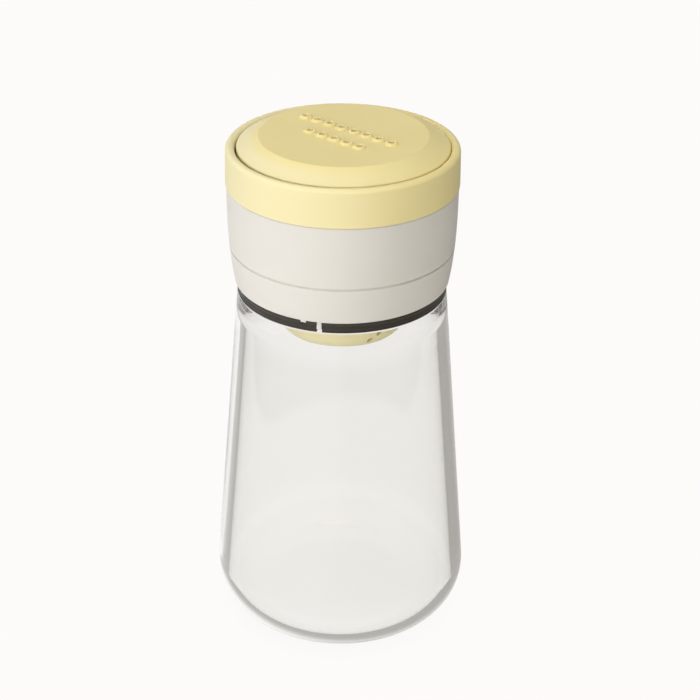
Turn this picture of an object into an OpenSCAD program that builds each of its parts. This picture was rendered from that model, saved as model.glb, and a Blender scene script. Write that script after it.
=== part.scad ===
// Press-button spice shaker: a conical glass bottle with a screw-on dispensing head.
// Origin: centre of the bottle's base, on the surface it stands on. +Z is up, -Y is the front.
// Pressing the button moves the stem down: the shutter closes the cup's ports, the valve opens.

/* [Bottle] */
// Largest outer diameter of the bottle, low on its side
bottle_d = 70; // [66:0.5:76]
// Height of the shoulder that the head's seal rests on
shoulder_z = 98.8; // [90:0.2:110]
// Radius of the rounded edge between the side and the base
corner_r = 13; // [10:0.5:15]
// Thickness of the glass side
wall_t = 3.1; // [2.4:0.1:3.6]
// Thickness of the glass base
base_t = 2.7; // [2.4:0.1:3.4]
// Rise of the shallow dome under the base
recess_h = 0.5; // [0.3:0.1:0.8]
// Diameter of the dome under the base
recess_d = 30; // [24:1:34]
// Radius of the rounded edges on the shoulder and the mouth
crest = 0.5; // [0.4:0.1:0.8]

/* [Neck] */
// Outer diameter of the neck under its thread
neck_d = 48; // [44:0.5:52]
// Thickness of the neck's glass
neck_wall = 2.6; // [2:0.1:3]
// Height of the neck above the shoulder
neck_h = 14.6; // [14:0.2:17]
// Height of the neck's thread ridge
thread_h = 1.1; // [0.8:0.1:1.3]
// Rise of the thread in one turn
thread_lead = 5; // [4.6:0.1:5.6]
// Turns of the neck's thread
thread_turns = 1.25; // [1:0.05:1.4]
// Half height of the neck's ridge at its root
ridge_half = 1.05; // [0.9:0.05:1.2]
// Half height of the collar's ridge at its root
nut_half = 0.9; // [0.8:0.05:1.1]
// Glass left above the end of the thread
mouth_land = 2.6; // [2:0.1:3]
// Radial clearance over the thread's crest
thread_gap = 0.5; // [0.35:0.05:0.7]

/* [Collar] */
// Height of the lower outside band
collar_h = 10.1; // [9:0.1:11.5]
// Wall of the collar at its lower edge
collar_wall = 2.7; // [2.3:0.1:3.2]
// Wall of the collar's upper part inside the housing
spigot_wall = 1.6; // [1.4:0.1:1.9]
// Thickness of the collar's inner flange
flange_t = 2; // [1.6:0.1:2.6]
// Thickness of the seal ring on the shoulder
seal_t = 3; // [2.8:0.1:4]
// Step from the collar's lower edge in to the seal ring
seal_step = 0.5; // [0.2:0.1:0.9]
// Radius of the two beads around the seal ring
bead_r = 0.35; // [0.2:0.05:0.5]
// Width of the split in the seal ring
split_w = 1.4; // [1.2:0.1:1.8]
// Width of the collar's key in the seal ring's notch
key_w = 1.5; // [1:0.1:2]
// Depth of the key in the seal ring
key_h = 0.7; // [0.4:0.1:1.2]
// Thickness of the gasket on the mouth
gasket_t = 1.6; // [1.2:0.1:2]

/* [Housing and outlet ring] */
// Wall of the upper outside band
housing_wall = 2.75; // [2.4:0.05:3.4]
// Power of the curve that the two bands follow
head_curve = 2.9; // [2:0.1:4]
// Height of the outlet ring's outside band
ring_h = 10.1; // [9:0.1:11]
// Wall of the outlet ring at its round rim
ring_wall = 2.45; // [2.2:0.05:2.7]
// Depth of the undercut below the inner lip
lip_undercut = 1; // [0.6:0.1:1.2]
// Thickness of the outlet ring's valve seat
seat_t = 1.6; // [1.2:0.1:2]
// Width of the passage around the valve disc
valve_gap = 2.3; // [1.8:0.1:2.8]
// Width of the sealing contact on the valve seat
seat_w = 1.2; // [0.9:0.1:1.6]
// Length of the outlet ring's spigot below the valve seat
ring_spigot_h = 5.8; // [5:0.1:7]
// Height of the straight inner lip under the round rim
lip_h = 1.2; // [0.8:0.1:1.4]
// How far the housing's ledge reaches over the guide's edge
ledge_w = 0.8; // [0.5:0.1:1.2]
// Height of the ledge at its tip
ledge_h = 0.6; // [0.4:0.1:1]
// Height of the small chamfer on the cream bands
band_edge = 0.35; // [0.2:0.05:0.5]
// Depth of the groove where the two cream bands meet
groove_w = 0.5; // [0.3:0.05:0.7]

/* [Button] */
// Stroke of the button
travel = 4.5; // [3.5:0.1:5]
// Height of the chamfered crown above the button's edge
crown_h = 2.8; // [2.4:0.1:3.6]
// Width of the crown's chamfer
crown_w = 5.6; // [5:0.1:6.6]
// Height of the button's straight edge
edge_h = 1.7; // [1.2:0.1:1.9]
// Radial gap between the button and the ring's lip
button_gap = 0.25; // [0.2:0.05:0.4]
// How far the button's edge lies below the rim
edge_drop = 0.15; // [0:0.05:0.3]
// Wall of the button's top and skirt
button_wall = 2; // [1.6:0.1:2.4]
// Outer diameter of the skirt that passes the valve seat
skirt_d = 38; // [35:0.5:39]
// Diameter of one raised grip ring
pip_d = 3.5; // [3:0.1:3.7]
// Diameter of the hole in a grip ring
pip_hole_d = 1.3; // [1:0.1:1.6]
// Height of a grip ring above the button
pip_h = 0.6; // [0.3:0.1:0.9]
// Distance from ring to ring along a row
pip_pitch = 4.1; // [3.9:0.05:4.3]
// Distance between the two rows of rings
row_gap = 7.1; // [6:0.1:7.6]

/* [Valve and spring] */
// Thickness of the valve disc
disc_t = 1.8; // [1.4:0.1:2.4]
// Thickness of the silicone seal on the disc
outlet_seal_t = 1.4; // [1:0.1:1.8]
// Diameter of the stem
stem_d = 5; // [4:0.1:6]
// Running clearance of the stem in its guide, on the radius
stem_gap = 0.06; // [0.03:0.01:0.1]
// Wire of the return spring
wire_d = 0.9; // [0.7:0.05:1.1]
// Working turns of the return spring
spring_turns = 7; // [5:0.5:9]
// Inner diameter of the spring's well
well_d = 10.4; // [9.6:0.1:12]
// Depth of the spring's well below the guide's top
well_depth = 12.6; // [12:0.2:13]
// Wall of the well
well_wall = 1.5; // [1.2:0.1:2]
// Thickness of the guide's ring and arms
guide_t = 1.8; // [1.5:0.1:2.4]
// Width of the guide's arms
guide_arm_w = 3; // [2:0.1:4]

/* [Metering cup] */
// Gap between the cup and the neck's bore
cup_gap = 5.2; // [4.4:0.1:5.4]
// Depth of the cup below its flange
cup_depth = 26.4; // [25:0.2:27]
// Wall of the cup
cup_wall = 1.5; // [1.2:0.1:1.8]
// Radius of the cup's rounded lower edge
cup_round = 10; // [9:0.1:10.6]
// Thickness of the cup's flange
cup_flange_t = 1.4; // [1.1:0.1:2]
// Diameter of an inlet port
port_d = 1.8; // [1.5:0.1:2]
// Height of the lower port of a pair above the cup's underside
port_z = 2.3; // [2.3:0.1:3.2]
// How much higher the second port of a pair lies
port_rise = 1.7; // [1.4:0.1:2]
// Height of the shutter's sleeve
shutter_h = 7.6; // [7.4:0.1:8]
// Wall of the shutter's sleeve
shutter_wall = 1.4; // [1:0.1:1.8]
// Width of the shutter's spokes
spoke_w = 2.2; // [1.6:0.1:3]

/* [Fits] */
// Clearance between pieces that slide past each other
slide_gap = 0.3; // [0.25:0.05:0.4]
// Clearance between pieces that are pushed together
push_gap = 0.1; // [0.05:0.05:0.2]
// Free height left at the end of the stroke
end_gap = 1; // [0.8:0.1:1.6]
// Height of the screw heads
head_h = 1.2; // [0.9:0.1:1.5]
// Shank radius of the small screws
screw_r = 1; // [0.8:0.05:1.2]
// How far a small screw reaches into what it holds
screw_bite = 5; // [3.5:0.1:6]
// Free depth left below the tip of a screw
tip_gap = 1; // [0.5:0.1:2]
// Cord diameter of the two O-rings
oring_d = 1; // [0.8:0.1:1.2]

/* [Hidden] */
$fn = 96;

cream = "#e4dfd2";
butter = "#f0e2aa";
rubber = "#38311f";
silicone = "#ecebe6";
steel = "#b9bcc0";
eps = 0.01;

// How far a cutting shape stands out of what it cuts
over = 1;

// Directions around the axis
key_a = -112.4;
split_a = -103.4;
port_a = -56.5;
port_spread_a = 6;
screw_a = 30;
spoke_a = 40;
row_a = -40;

// The rows of grip rings: how many, where the first one is along the row, and across it
ROWS = [[8, -15, row_gap / 2 - 0.75], [5, -7.4, -row_gap / 2 - 0.75]];

// Radii, built outwards. The head is as wide as the neck or the valve needs, whichever is more
bottle_r = bottle_d / 2;
neck_r = neck_d / 2;
neck_bore_r = neck_r - neck_wall;
collar_bore_r = neck_r + thread_h + thread_gap;
collar_foot_r = collar_bore_r + collar_wall;
shoulder_r = collar_foot_r - seal_step;
skirt_r = skirt_d / 2;
ring_spigot_in = max(collar_bore_r, skirt_r + 2 * valve_gap + seat_w);
ring_spigot_r = ring_spigot_in + spigot_wall;
housing_bore_r = ring_spigot_r + push_gap;
spigot_r = housing_bore_r - push_gap;
head_r = housing_bore_r + housing_wall;
head_taper = head_r - collar_foot_r;
ring_r = head_r + push_gap;
lip_r = ring_r - ring_wall;
button_r = lip_r - button_gap;
crown_r = button_r - crown_w;
disc_r = ring_spigot_in - valve_gap;
seat_r = disc_r - seat_w;
cup_r = neck_bore_r - cup_gap;
cup_bore_r = cup_r - cup_wall;
flange_r = collar_bore_r;
oring_r = housing_bore_r - oring_d / 2;
stem_r = stem_d / 2;
well_r = well_d / 2;
screw_head_r = 1.6 * head_h;
seal_in_r = neck_r + thread_h + thread_gap / 2;
seal_key_r = collar_bore_r + push_gap;
key_reach = shoulder_r - 2 * bead_r - seal_key_r;

// Heights, built upwards from the shoulder
seal_top_z = shoulder_z + seal_t;
band_z = seal_top_z + collar_h;
mouth_z = shoulder_z + neck_h;
gasket_top_z = mouth_z + gasket_t;
flange_top_z = gasket_top_z + flange_t;
cup_flange_z = flange_top_z + cup_flange_t;
guide_top_z = cup_flange_z + guide_t;
disc_z = guide_top_z + head_h + end_gap + travel;
disc_top_z = disc_z + disc_t;
seat_z = disc_top_z + outlet_seal_t;
seat_top_z = seat_z + seat_t;
edge_z = seat_top_z + end_gap + travel;
edge_top_z = edge_z + edge_h;
rim_z = edge_top_z + edge_drop;
ring_foot_z = rim_z - ring_h;
top_z = edge_top_z + crown_h;
cup_foot_z = flange_top_z - cup_depth;
cup_floor_z = cup_foot_z + cup_wall;
shutter_z = cup_floor_z + slide_gap + travel;
shutter_round = cup_round - cup_wall - slide_gap;
shutter_top_z = shutter_z + max(shutter_h, shutter_round + slide_gap);
well_floor_z = max(guide_top_z - well_depth, shutter_top_z + slide_gap + well_wall);
hub_z = shutter_z + head_h + slide_gap;
spoke_z = shutter_z + 0.7 * shutter_round;
stem_foot_z = hub_z + shutter_wall;
ridge_z = mouth_z - mouth_land - thread_lead * thread_turns;
nut_z = seal_top_z + nut_half + slide_gap;
collar_groove_z = (band_z + flange_top_z) / 2;
ring_spigot_z = seat_z - ring_spigot_h;
ring_groove_z = (ring_spigot_z + ring_foot_z) / 2;

// Radial places of the small screws
guide_screw_r = (cup_bore_r + flange_r) / 2;
valve_screw_r = skirt_r - button_wall - screw_head_r;
screw_end = flange_t / 8;

// Points along an arc, with angles in degrees
function arc(cx, cy, r, a0, a1, n) =
    [for (i = [0:n]) let (a = a0 + (a1 - a0) * i / n) [cx + r * cos(a), cy + r * sin(a)]];

// Outside radius of the two cream bands at a height
function band_r(z) =
    head_r - head_taper * pow((ring_foot_z - z) / (ring_foot_z - seal_top_z), head_curve);

// Outside of a cream band between two heights
function band_side(z0, z1, n) =
    [for (i = [0:n]) let (z = z0 + (z1 - z0) * i / n) [band_r(z), z]];

module ring(r_in, r_out, z0, z1) {
    translate([0, 0, z0]) difference() {
        cylinder(h = z1 - z0, r = r_out);
        translate([0, 0, -over]) cylinder(h = z1 - z0 + 2 * over, r = r_in);
    }
}

module torus(r_mid, r_cord, z) {
    translate([0, 0, z]) rotate_extrude() translate([r_mid, 0]) circle(r = r_cord, $fn = 32);
}

// A ridge swept along a helix that fades out at both ends: profile points are [out, up],
// and a negative depth gives an inside thread
module helix_ridge(root_r, z0, depth, half_h, turns, sides = 40) {
    steps = ceil(turns * sides);
    fade = 6;
    sink = sign(depth) * 0.4;
    function grow(i) = 0.15 + 0.85 * min(1, min(i, steps - i) / fade);
    function section(g) = [[-sink, -half_h], [depth * g, -half_h * 0.45],
                           [depth * g, half_h * 0.45], [-sink, half_h]];
    points = [for (i = [0:steps]) for (p = section(grow(i)))
        let (a = 360 * turns * i / steps)
        [(root_r + p[0]) * cos(a), (root_r + p[0]) * sin(a), z0 + thread_lead * turns * i / steps + p[1]]];
    walls = [for (i = [0:steps - 1]) for (k = [0:3])
        let (n = (k + 1) % 4)
        depth > 0 ? [4 * i + k, 4 * i + n, 4 * (i + 1) + n, 4 * (i + 1) + k]
                  : [4 * (i + 1) + k, 4 * (i + 1) + n, 4 * i + n, 4 * i + k]];
    caps = depth > 0 ? [[3, 2, 1, 0], [for (k = [0:3]) 4 * steps + k]]
                     : [[0, 1, 2, 3], [for (k = [3:-1:0]) 4 * steps + k]];
    polyhedron(points = points, faces = concat(walls, caps), convexity = 6);
}

// The conical bottle: a tapered side tangent to a rounded base edge, and a threaded neck
module glass_bottle() {
    foot_r = bottle_r - corner_r;
    reach = norm([shoulder_r - foot_r, shoulder_z - corner_r]);
    taper = atan2(shoulder_z - corner_r, shoulder_r - foot_r) - acos(corner_r / reach);
    side = foot_r * cos(taper) + corner_r * sin(taper) + corner_r;
    inner_side = side - wall_t;
    inner_r = corner_r - wall_t;
    inner_z = base_t + inner_r;
    inner_x = (inner_side - inner_r - inner_z * sin(taper)) / cos(taper);
    dome_r = (pow(recess_d / 2, 2) + pow(recess_h, 2)) / (2 * recess_h);
    dome_a = asin(recess_d / 2 / dome_r);
    slope_z = shoulder_z - 2 * wall_t;
    slope_r = (inner_side - slope_z * sin(taper)) / cos(taper);
    color([0.86, 0.9, 0.9, 0.4]) {
        difference() {
            rotate_extrude() polygon(concat(
                arc(0, recess_h - dome_r, dome_r, 90, 90 - dome_a, 8),
                arc(foot_r, corner_r, corner_r, -90, taper, 16),
                arc(shoulder_r - crest, shoulder_z - crest, crest, taper, 90, 6),
                [[neck_r, shoulder_z]],
                arc(neck_r - crest, mouth_z - crest, crest, 0, 90, 6),
                [[0, mouth_z]]));
            rotate_extrude() polygon(concat(
                [[0, base_t]],
                arc(inner_x, inner_z, inner_r, -90, taper, 12),
                [[slope_r, slope_z], [neck_bore_r, shoulder_z - 0.4 * wall_t],
                 [neck_bore_r, mouth_z - crest / 2], [neck_bore_r + crest / 2, mouth_z],
                 [neck_bore_r + crest / 2, mouth_z + over], [0, mouth_z + over]]));
        }
        helix_ridge(neck_r, ridge_z, thread_h, ridge_half, thread_turns);
    }
}

// Dark ring squeezed between the collar and the shoulder, keyed to the collar, split once
module neck_seal() {
    low_r = shoulder_r - 1.6 * bead_r;
    high_r = low_r + 1.3 * bead_r;
    color(rubber) difference() {
        rotate_extrude() polygon(concat(
            [[seal_in_r, shoulder_z], [low_r, shoulder_z]],
            arc(low_r + bead_r, shoulder_z + 0.3 * seal_t, bead_r, -60, 60, 4),
            arc(high_r, shoulder_z + 0.72 * seal_t, bead_r, -60, 60, 4),
            [[high_r, seal_top_z], [seal_in_r, seal_top_z]]));
        rotate([0, 0, key_a]) translate([seal_key_r, -key_w / 2 - push_gap, seal_top_z - key_h - push_gap])
            cube([shoulder_r, key_w + 2 * push_gap, key_h + over]);
        rotate([0, 0, split_a]) translate([seal_in_r - over, -split_w / 2, shoulder_z - over])
            cube([shoulder_r, split_w, seal_t + 2 * over]);
    }
}

// Flat gasket between the bottle's mouth and the collar's flange
module neck_gasket() {
    color(silicone) ring(neck_bore_r, collar_bore_r - slide_gap, mouth_z, gasket_top_z);
}

// Lower cream band: inside thread, inner flange over the mouth, spigot into the housing,
// and below it a key in the seal ring's notch and a rib in its split
module neck_collar() {
    // The collar's ridge runs this far under the neck's, with a small gap between their flanks
    flank_drop = 0.62 * (ridge_half + nut_half) + slide_gap;
    nut_a = 360 * (nut_z + flank_drop - ridge_z) / thread_lead;
    color(cream) {
        difference() {
            rotate_extrude() polygon(concat(
                [[collar_bore_r, seal_top_z], [band_r(seal_top_z) - band_edge, seal_top_z]],
                band_side(seal_top_z + band_edge, band_z - band_edge, 6),
                [[band_r(band_z) - groove_w, band_z], [spigot_r, band_z],
                 [spigot_r, flange_top_z], [cup_r + push_gap, flange_top_z],
                 [cup_r + push_gap, gasket_top_z], [collar_bore_r, gasket_top_z]]));
            torus(oring_r, oring_d / 2, collar_groove_z);
            screw_circle(3, guide_screw_r)
                translate([0, 0, gasket_top_z + screw_end]) cylinder(h = flange_t, r = screw_r, $fn = 24);
        }
        rotate([0, 0, key_a]) translate([seal_key_r + push_gap, -key_w / 2, seal_top_z - key_h])
            cube([key_reach, key_w, key_h + eps]);
        rotate([0, 0, split_a]) translate([seal_key_r + push_gap, push_gap - split_w / 2, shoulder_z + slide_gap])
            cube([key_reach, split_w - 2 * push_gap, seal_t - slide_gap + eps]);
        rotate([0, 0, nut_a]) helix_ridge(collar_bore_r, nut_z, -thread_h, nut_half, 1);
    }
}

// Copies around the axis
module screw_circle(n, r) {
    for (i = [0:n - 1]) rotate([0, 0, 360 * i / n + screw_a]) translate([r, 0, 0]) children();
}

// Through hole for a small screw in a plate
module screw_hole(z, plate_t) {
    translate([0, 0, z - over]) cylinder(h = plate_t + 2 * over, r = screw_r + push_gap, $fn = 24);
}

// Blind hole that a small screw bites into, upwards from a face
module pilot_hole(z) {
    translate([0, 0, z - over]) cylinder(h = screw_bite + tip_gap + over, r = screw_r, $fn = 24);
}

module collar_oring() {
    color(rubber) torus(oring_r, oring_d / 2 - eps, collar_groove_z);
}

// Upper cream band: the outer shell of the dispensing head, with a ledge that holds the guide down
module head_housing() {
    ledge_r = flange_r - ledge_w;
    slope = housing_bore_r - ledge_r;
    color(cream) rotate_extrude() polygon(concat(
        [[housing_bore_r, band_z], [band_r(band_z) - groove_w, band_z]],
        band_side(band_z + band_edge, ring_foot_z - band_edge, 10),
        [[head_r - band_edge, ring_foot_z], [housing_bore_r, ring_foot_z],
         [housing_bore_r, guide_top_z + ledge_h + slope / 2], [ledge_r, guide_top_z + ledge_h],
         [ledge_r, guide_top_z], [housing_bore_r, guide_top_z]]));
}

// Dosing cup that hangs in the neck from the collar's flange, with pairs of inlet ports
module metering_cup() {
    inner = cup_round - cup_wall;
    color(butter) difference() {
        rotate_extrude() polygon(concat(
            [[0, cup_foot_z]],
            arc(cup_r - cup_round, cup_foot_z + cup_round, cup_round, -90, 0, 10),
            [[cup_r, flange_top_z], [flange_r, flange_top_z],
             [flange_r, cup_flange_z], [cup_bore_r, cup_flange_z]],
            arc(cup_r - cup_round, cup_foot_z + cup_round, inner, 0, -90, 10),
            [[0, cup_floor_z]]));
        for (i = [0:2]) for (k = [0, 1])
            rotate([0, 0, port_a + 120 * i + port_spread_a * k])
                translate([cup_r / 2, 0, cup_foot_z + port_z + port_rise * k])
                    rotate([0, 90, 0]) cylinder(h = cup_r, r = port_d / 2, $fn = 24);
        screw_circle(3, guide_screw_r)
            screw_hole(flange_top_z, cup_flange_t);
    }
}

// Spider that guides the stem and holds the spring's well
module stem_guide() {
    bottom_z = well_floor_z - well_wall;
    color(silicone) difference() {
        union() {
            ring(cup_bore_r, flange_r, cup_flange_z, guide_top_z);
            translate([0, 0, bottom_z]) cylinder(h = guide_top_z - bottom_z, r = well_r + well_wall);
            for (i = [0:2]) rotate([0, 0, 120 * i - screw_a])
                translate([0, -guide_arm_w / 2, cup_flange_z])
                    cube([guide_screw_r, guide_arm_w, guide_t]);
        }
        translate([0, 0, well_floor_z]) cylinder(h = well_depth + over, r = well_r);
        translate([0, 0, bottom_z - over]) cylinder(h = well_wall + 2 * over, r = stem_r + stem_gap);
        screw_circle(3, guide_screw_r) screw_hole(cup_flange_z, guide_t);
    }
}

// A pan-head screw with a cross slot, standing on z = 0 with its shank down
module pan_screw(length) {
    difference() {
        union() {
            cylinder(h = head_h, r = screw_head_r, $fn = 32);
            translate([0, 0, -length]) cylinder(h = length + eps, r = screw_r, $fn = 24);
        }
        for (a = [0, 90]) rotate([0, 0, a])
            translate([0, 0, head_h]) cube([1.2 * screw_head_r, head_h / 2, head_h], center = true);
    }
}

module guide_screws() {
    color(steel) screw_circle(3, guide_screw_r)
        translate([0, 0, guide_top_z]) pan_screw(guide_top_z - gasket_top_z - 2 * screw_end);
}

// Compression coil around the stem, with a round wire
module return_spring() {
    coil_r = (stem_r + well_r) / 2;
    wire_r = wire_d / 2;
    sides = 6;
    per_turn = 16;
    z0 = well_floor_z + wire_r;
    rise = disc_z - well_floor_z - wire_d;
    steps = per_turn * (spring_turns + 2);
    // Closed ends: the first and the last turn climb by one wire only
    function climb(t) = t < 1 ? wire_d * t
        : t > spring_turns + 1 ? rise - wire_d * (spring_turns + 2 - t)
        : wire_d + (rise - 2 * wire_d) * (t - 1) / spring_turns;
    points = [for (i = [0:steps]) for (k = [0:sides - 1])
        let (a = 360 * i / per_turn, b = 360 * k / sides)
        [(coil_r + wire_r * cos(b)) * cos(a), (coil_r + wire_r * cos(b)) * sin(a),
         z0 + climb(i / per_turn) + wire_r * sin(b)]];
    walls = [for (i = [0:steps - 1]) for (k = [0:sides - 1])
        let (n = (k + 1) % sides)
        [sides * i + n, sides * i + k, sides * (i + 1) + k, sides * (i + 1) + n]];
    caps = [[for (k = [0:sides - 1]) k], [for (k = [sides - 1:-1:0]) sides * steps + k]];
    color(steel) polyhedron(points = points, faces = concat(walls, caps), convexity = 10);
}

// Rod that joins the valve disc to the shutter
module valve_stem() {
    color(steel) difference() {
        translate([0, 0, stem_foot_z]) cylinder(h = disc_z - stem_foot_z, r = stem_r);
        translate([0, 0, disc_z]) mirror([0, 0, 1]) pilot_hole(0);
        pilot_hole(stem_foot_z);
    }
}

// Sleeve that slides down over the inlet ports when the button is pressed
module shutter_sleeve() {
    r_out = cup_bore_r - slide_gap;
    centre_r = r_out - shutter_round;
    color(silicone) difference() {
        union() {
            rotate_extrude() polygon(concat(
                arc(centre_r, shutter_z + shutter_round, shutter_round, -90, 0, 10),
                [[r_out, shutter_top_z], [r_out - shutter_wall, shutter_top_z]],
                arc(centre_r, shutter_z + shutter_round, shutter_round - shutter_wall, 0, -90, 10)));
            translate([0, 0, hub_z]) cylinder(h = shutter_top_z - hub_z, r = stem_r + shutter_wall);
            for (i = [0:2]) rotate([0, 0, 120 * i + spoke_a])
                translate([0, -spoke_w / 2, spoke_z])
                    cube([r_out - shutter_wall / 2, spoke_w, shutter_h / 4]);
        }
        translate([0, 0, stem_foot_z]) cylinder(h = shutter_h, r = stem_r + eps);
        screw_hole(hub_z, shutter_wall);
    }
}

module shutter_screw() {
    color(steel) translate([0, 0, hub_z]) rotate([180, 0, 0]) pan_screw(shutter_wall + screw_bite);
}

// Disc that closes against the outlet ring's seat
module valve_disc() {
    color(silicone) difference() {
        translate([0, 0, disc_z]) cylinder(h = disc_t, r = disc_r);
        screw_hole(disc_z, disc_t);
        screw_circle(3, valve_screw_r) screw_hole(disc_z, disc_t);
    }
}

// Silicone ring on the disc that meets the seat
module outlet_seal() {
    color(rubber) ring(skirt_r + push_gap, disc_r, disc_top_z, seat_z);
}

module valve_screws() {
    color(steel) screw_circle(3, valve_screw_r)
        translate([0, 0, disc_z]) rotate([180, 0, 0]) pan_screw(disc_t + screw_bite);
}

module stem_screw() {
    color(steel) translate([0, 0, disc_top_z]) pan_screw(disc_t + screw_bite);
}

// Two slanting rows of plain raised rings, a long one and a short one
module grip_pips() {
    for (row = ROWS) for (i = [0:row[0] - 1])
        rotate([0, 0, row_a]) translate([row[1] + pip_pitch * i, row[2], top_z])
            rotate_extrude($fn = 24) polygon([
                [pip_hole_d / 2, -pip_h / 2], [pip_d / 2, -pip_h / 2], [pip_d / 2, pip_h / 4],
                [pip_d / 2 - 0.75 * pip_h, pip_h], [pip_hole_d / 2, pip_h]]);
}

// Chamfered push button with a hollow skirt that carries the valve disc
module push_button() {
    edge = 0.3;
    boss_r = screw_r + 1.2;
    under_z = edge_z + crown_h - edge;
    color(butter) {
        rotate_extrude() polygon([
            [0, top_z], [crown_r - edge, top_z], [crown_r + edge, top_z - edge / 2],
            [button_r - edge, edge_top_z + edge / 2], [button_r, edge_top_z - edge],
            [button_r, edge_z + edge], [button_r - edge, edge_z],
            [button_r - button_wall, edge_z], [crown_r, under_z],
            [skirt_r, under_z], [skirt_r, disc_top_z],
            [skirt_r - button_wall, disc_top_z], [skirt_r - button_wall, top_z - button_wall],
            [0, top_z - button_wall]]);
        screw_circle(3, valve_screw_r) difference() {
            translate([0, 0, disc_top_z])
                cylinder(h = top_z - button_wall - disc_top_z + eps, r = boss_r, $fn = 32);
            pilot_hole(disc_top_z);
        }
        grip_pips();
    }
}

// Outlet ring: rounded rim, undercut below the lip, valve seat and spigot into the housing
module outlet_ring() {
    edge = 0.7;
    bore_r = lip_r + lip_undercut;
    rim_round = ring_wall / 2;
    lip_foot_z = rim_z - rim_round - lip_h;
    color(butter) difference() {
        rotate_extrude() polygon(concat(
            [[seat_r, seat_z], [ring_spigot_in, seat_z], [ring_spigot_in, ring_spigot_z],
             [ring_spigot_r, ring_spigot_z], [ring_spigot_r, ring_foot_z],
             [ring_r - edge / 3, ring_foot_z], [ring_r + edge / 4, ring_foot_z + edge / 2]],
            arc(ring_r - rim_round, rim_z - rim_round, rim_round, 0, 180, 12),
            [[lip_r, lip_foot_z], [bore_r, lip_foot_z - lip_undercut],
             [bore_r, seat_top_z], [seat_r, seat_top_z]]));
        torus(oring_r, oring_d / 2, ring_groove_z);
    }
}

module ring_oring() {
    color(rubber) torus(oring_r, oring_d / 2 - eps, ring_groove_z);
}

glass_bottle();
neck_seal();
neck_gasket();
neck_collar();
collar_oring();
head_housing();
metering_cup();
stem_guide();
guide_screws();
return_spring();
valve_stem();
shutter_sleeve();
shutter_screw();
valve_disc();
outlet_seal();
valve_screws();
stem_screw();
push_button();
outlet_ring();
ring_oring();
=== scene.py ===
"""A press-button spice shaker: visible shapes and finishes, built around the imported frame."""
import math

import bmesh
import bpy
from mathutils import Matrix, Vector


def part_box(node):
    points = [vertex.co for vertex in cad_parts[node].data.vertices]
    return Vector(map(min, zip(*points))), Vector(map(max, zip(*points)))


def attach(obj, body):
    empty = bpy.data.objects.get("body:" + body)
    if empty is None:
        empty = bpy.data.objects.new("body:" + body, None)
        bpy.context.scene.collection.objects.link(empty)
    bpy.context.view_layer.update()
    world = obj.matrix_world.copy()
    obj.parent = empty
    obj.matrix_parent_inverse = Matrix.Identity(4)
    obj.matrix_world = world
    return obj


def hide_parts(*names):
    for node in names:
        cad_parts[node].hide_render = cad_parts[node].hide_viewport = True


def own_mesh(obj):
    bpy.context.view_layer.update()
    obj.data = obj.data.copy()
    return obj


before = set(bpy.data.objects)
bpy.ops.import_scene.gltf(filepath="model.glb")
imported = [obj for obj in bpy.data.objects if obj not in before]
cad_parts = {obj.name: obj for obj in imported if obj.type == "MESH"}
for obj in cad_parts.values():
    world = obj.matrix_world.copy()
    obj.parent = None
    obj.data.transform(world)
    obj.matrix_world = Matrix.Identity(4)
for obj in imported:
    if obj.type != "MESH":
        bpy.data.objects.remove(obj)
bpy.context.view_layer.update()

# ---------------------------------------------------------------- sizes
# In metres. A name that ends in _r is a radius, _w a width, _z a height above the floor, _h and _t
# the height and thickness of a feature, _a an angle in degrees.
MM = 0.001
SPIN_STEPS = 192
GLASS_STEPS = 256
SEAL_STEPS = 220
THREAD_STEPS = 72
SHARP_EDGE = math.radians(40)
ON_AXIS = 1e-9
SAME_POINT = 1e-7


def reach(cad_node):
    """Outer radius, lowest height and highest height of a CAD node."""
    low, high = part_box(cad_node)
    return high.x, low.z, high.z


bottle_r, _, mouth_z = reach("glass_bottle")
ring_r, spigot_z, rim_z = reach("outlet_ring")
head_r, band_z, ring_foot_z = reach("head_housing")
_, _, flange_z = reach("neck_collar")
_, shoulder_z, seal_top_z = reach("neck_seal")
button_r, disc_top_z, pip_top_z = reach("push_button")
flange_r, cup_foot_z, cup_top_z = reach("metering_cup")
spring_r, spring_foot_z, spring_top_z = reach("return_spring")

# Bottle
corner_r = 13 * MM
wall = 3.1 * MM
base_t = 2.7 * MM
dome_h = 0.25 * MM
dome_r = 15 * MM
crest = 0.3 * MM
shoulder_r = 27.8 * MM
neck_r = 24 * MM
neck_bore_r = 21.4 * MM
dome_round = 4 * MM
neck_foot_round = 0.4 * MM
mouth_round = 0.8 * MM
bore_foot_drop = 0.4 * wall
bore_foot_round = 1.0 * MM
inner_shoulder_drop = 2 * wall
inner_shoulder_round = 5.0 * MM

# Thread of the neck (the ridge) and of the collar (the nut)
thread_h = 1.1 * MM
thread_lead = 5 * MM
thread_turns = 1.25
thread_sink = 0.3 * MM
thread_crest = 0.45
flank_share = 0.62
mouth_land = 2.6 * MM
ridge_half = 1.05 * MM
nut_half = 0.9 * MM
ridge_z = mouth_z - mouth_land - thread_lead * thread_turns

# Rounds that several pieces share
trim_round = 0.1 * MM
foot_round = 0.12 * MM
edge_round = 0.2 * MM
soft_round = 0.3 * MM
corner_round = 0.5 * MM

# Gaps between pieces
push_gap = 0.1 * MM
slide_gap = 0.3 * MM

# Seal ring, with its split and the notch for the collar's key
bead = 0.35 * MM
low_bead_share = 0.3
high_bead_share = 0.72
waist_round = 0.15 * MM
thread_clearance = 0.25 * MM
underside_band = 0.05 * MM
split_w = 1.4 * MM
split_a = -101.6
key_w = 1.5 * MM
key_h = 0.7 * MM
key_a = -110.3
key_root = 0.2 * MM

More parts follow.
